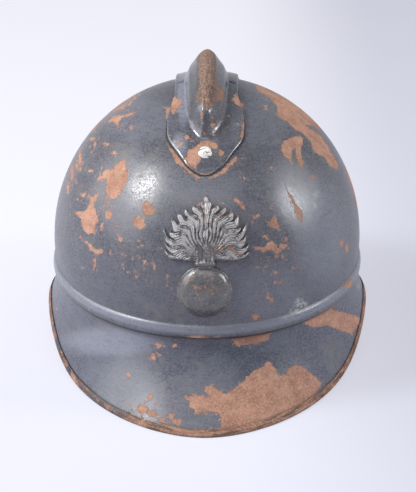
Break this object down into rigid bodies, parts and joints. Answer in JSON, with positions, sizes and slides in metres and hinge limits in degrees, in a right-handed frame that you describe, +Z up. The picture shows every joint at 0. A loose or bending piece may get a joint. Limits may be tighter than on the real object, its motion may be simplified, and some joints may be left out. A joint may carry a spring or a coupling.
{
  "type": "steel combat helmet",
  "caption": "Historical steel helmet: domed skull with rolled bead, flared brim, crested comb, flaming ball badge, leather liner and chin strap.",
  "frame": {"origin": "on the floor under the middle of the brim's length and width", "axes": "+Z up through the crown, +Y towards the neck guard, -Y towards the visor, +X to the right of someone who faces the badge"},
  "size_m": [0.1988, 0.288, 0.1746],
  "materials": {
    "painted_shell": "worn satin paint with rust",
    "painted_brim": "worn satin paint with rust",
    "painted_comb": "worn satin paint with rust",
    "painted_badge": "worn satin paint on pressed steel",
    "rivet_aluminium": "dull, weathered",
    "spacer_aluminium": "thin, dull, corrugated",
    "liner_leather": "aged, dark brown",
    "strap_leather": "aged, brown",
    "wool_cloth": "coarse woven wool",
    "bare_steel": "darkened, spotted with rust"
  },
  "bodies": {
    "helmet": {"skull_shell": "painted_shell", "visor": "painted_brim", "neck_guard": "painted_brim", "visor_binding": "painted_brim", "neck_guard_binding": "painted_brim", "comb": "painted_comb", "comb_end_rivets": "rivet_aluminium", "comb_side_rivets": "rivet_aluminium", "badge": "painted_badge", "liner_clips": "bare_steel", "cloth_band": "wool_cloth", "leather_liner": "liner_leather", "front_spacer": "spacer_aluminium", "right_spacer": "spacer_aluminium", "rear_spacer": "spacer_aluminium", "left_spacer": "spacer_aluminium", "left_strap_lug": "bare_steel", "right_strap_lug": "bare_steel", "left_pivot_pin": "bare_steel", "right_pivot_pin": "bare_steel"},
    "strap": {"left_strap_hanger": "bare_steel", "right_strap_hanger": "bare_steel", "chin_strap": "strap_leather"},
    "buckle": {"strap_buckle": "bare_steel"}
  },
  "joints": [
    {"name": "strap_swing", "type": "hinge", "parent": "helmet", "child": "strap", "pos_m": [0, -0.001, 0.041], "axis": [1, 0, 0], "range_deg": [-150, 15]},
    {"name": "buckle_slide", "type": "slide", "parent": "strap", "child": "buckle", "axis": [0.3975, 0.8565, -0.3293], "range_m": [-0.011, 0.0184]}
  ]
}
